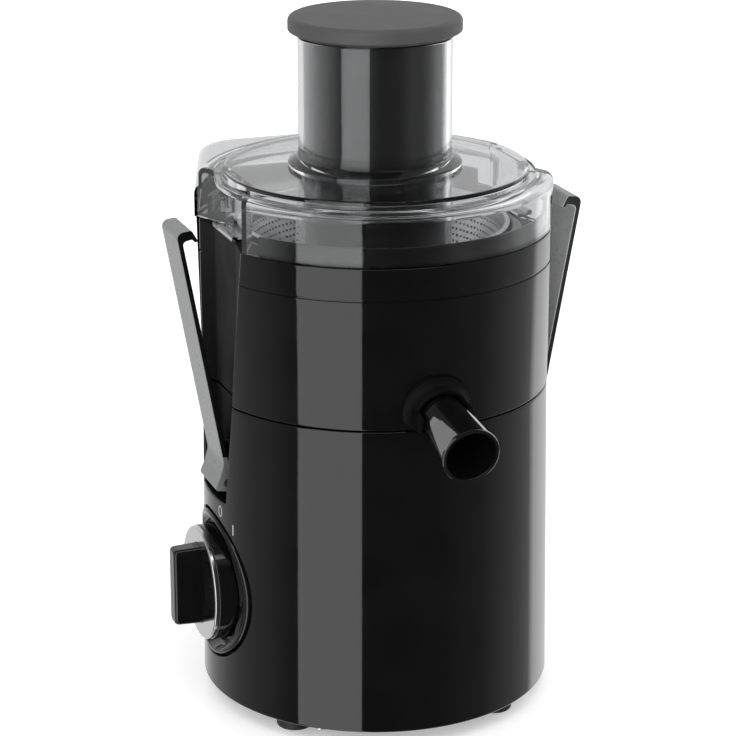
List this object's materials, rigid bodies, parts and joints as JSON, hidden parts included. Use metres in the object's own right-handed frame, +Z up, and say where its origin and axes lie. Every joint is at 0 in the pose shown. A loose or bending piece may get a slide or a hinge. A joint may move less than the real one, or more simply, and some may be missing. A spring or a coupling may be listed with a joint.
{
  "type": "centrifugal juicer",
  "caption": "Countertop centrifugal juicer with motor base, juice collector and spout, spinning filter basket, clear lid with feed tube and pusher, latch clamps and rear pulp container.",
  "frame": {"origin": "on the worktop, on the vertical motor axis, which is also the middle of the footprint", "axes": "+Z up along the motor axis, -Y the front with the spout, -X the side with the speed knob, +Y the back with the pulp container"},
  "size_m": [0.2098, 0.2557, 0.3413],
  "materials": {
    "black_gloss": "gloss",
    "black_matte": "fine satin",
    "charcoal_matte": "matte",
    "smoke_gloss": "gloss",
    "clear_plastic": "clear polycarbonate",
    "silver_paint": "metallic silver-grey",
    "chrome_plate": "bright plated",
    "steel": "stainless",
    "rubber": "soft black",
    "seal_grey": "silicone",
    "lamination": "stamped laminations",
    "copper": "enamelled copper wire",
    "white_plastic": "moulded insulator",
    "brass": "plain",
    "carbon": "carbon block",
    "zinc": "pressed sheet",
    "cap_yellow": "film capacitor case"
  },
  "bodies": {
    "base": {"motor_base_housing": "black_gloss", "base_plate": "black_matte", "shelf_cover": "black_matte", "rubber_feet": "rubber", "base_screws": "steel", "cord_inlet_bush": "rubber", "knob_bezel": "black_gloss", "rotary_switch": "white_plastic", "switch_terminals": "brass", "interlock_switch": "black_matte", "suppression_capacitor": "cap_yellow", "stator_core": "lamination", "field_windings": "copper", "motor_upper_bracket": "zinc", "motor_lower_bracket": "zinc", "motor_tie_screws": "steel", "upper_bearing": "steel", "lower_bearing": "steel", "motor_mounts": "rubber", "motor_screws": "steel", "brush_holders": "brass", "carbon_brushes": "carbon", "shaft_seal": "seal_grey", "clamp_pivot_pins": "steel"},
    "rotor": {"motor_shaft": "steel", "armature": "lamination", "armature_windings": "copper", "commutator": "copper", "cooling_fan": "white_plastic", "drive_coupling": "black_matte"},
    "collector": {"juice_collector": "black_gloss", "spout_pins": "steel", "outlet_seal": "seal_grey"},
    "spout": {"spout": "black_gloss"},
    "basket": {"basket_hub": "black_matte", "basket_ring": "black_matte", "grater_disc": "steel", "filter_mesh": "steel", "basket_rim": "steel"},
    "lid": {"lid": "clear_plastic"},
    "pusher": {"pusher_body": "smoke_gloss", "pusher_cap": "charcoal_matte"},
    "knob": {"knob": "black_matte", "knob_disc": "chrome_plate", "knob_shaft": "brass"},
    "clamp_left": {"clamp_left": "silver_paint"},
    "clamp_right": {"clamp_right": "silver_paint"},
    "interlock": {"interlock_plunger": "white_plastic"},
    "pulp_container": {"pulp_container": "black_gloss"}
  },
  "joints": [
    {"name": "motor_spin", "type": "hinge", "parent": "base", "child": "rotor", "pos_m": [0, 0, 0.1], "axis": [0, 0, 1], "continuous": true},
    {"name": "collector_lift", "type": "slide", "parent": "base", "child": "collector", "axis": [0, 0, 1], "range_m": [0, 0.1]},
    {"name": "basket_spin", "type": "hinge", "parent": "collector", "child": "basket", "pos_m": [0, 0, 0.2], "axis": [0, 0, 1], "continuous": true},
    {"name": "spout_tilt", "type": "hinge", "parent": "collector", "child": "spout", "pos_m": [0, -0.093, 0.1681], "axis": [-1, 0, 0], "range_deg": [0, 22]},
    {"name": "lid_lift", "type": "slide", "parent": "collector", "child": "lid", "axis": [0, 0, 1], "range_m": [0, 0.1]},
    {"name": "pusher_slide", "type": "slide", "parent": "lid", "child": "pusher", "axis": [0, 0, 1], "range_m": [0, 0.13]},
    {"name": "knob_turn", "type": "hinge", "parent": "base", "child": "knob", "pos_m": [-0.09, 0, 0.0629], "axis": [-1, 0, 0], "range_deg": [-90, 45]},
    {"name": "clamp_left_swing", "type": "hinge", "parent": "base", "child": "clamp_left", "pos_m": [-0.0805, 0, 0.1185], "axis": [0, -1, 0], "range_deg": [-10.4, 35]},
    {"name": "clamp_right_swing", "type": "hinge", "parent": "base", "child": "clamp_right", "pos_m": [0.0805, 0, 0.1185], "axis": [0, 1, 0], "range_deg": [-10.4, 35]},
    {"name": "interlock_press", "type": "slide", "parent": "base", "child": "interlock", "axis": [1, 0, 0], "range_m": [0, 0.002], "stiffness_N_per_m": 300},
    {"name": "pulp_container_slide", "type": "slide", "parent": "base", "child": "pulp_container", "axis": [0, 1, 0], "range_m": [0, 0.12]}
  ],
  "couplings": [
    {"joint": "basket_spin", "follows": "motor_spin", "ratio": 1}
  ]
}
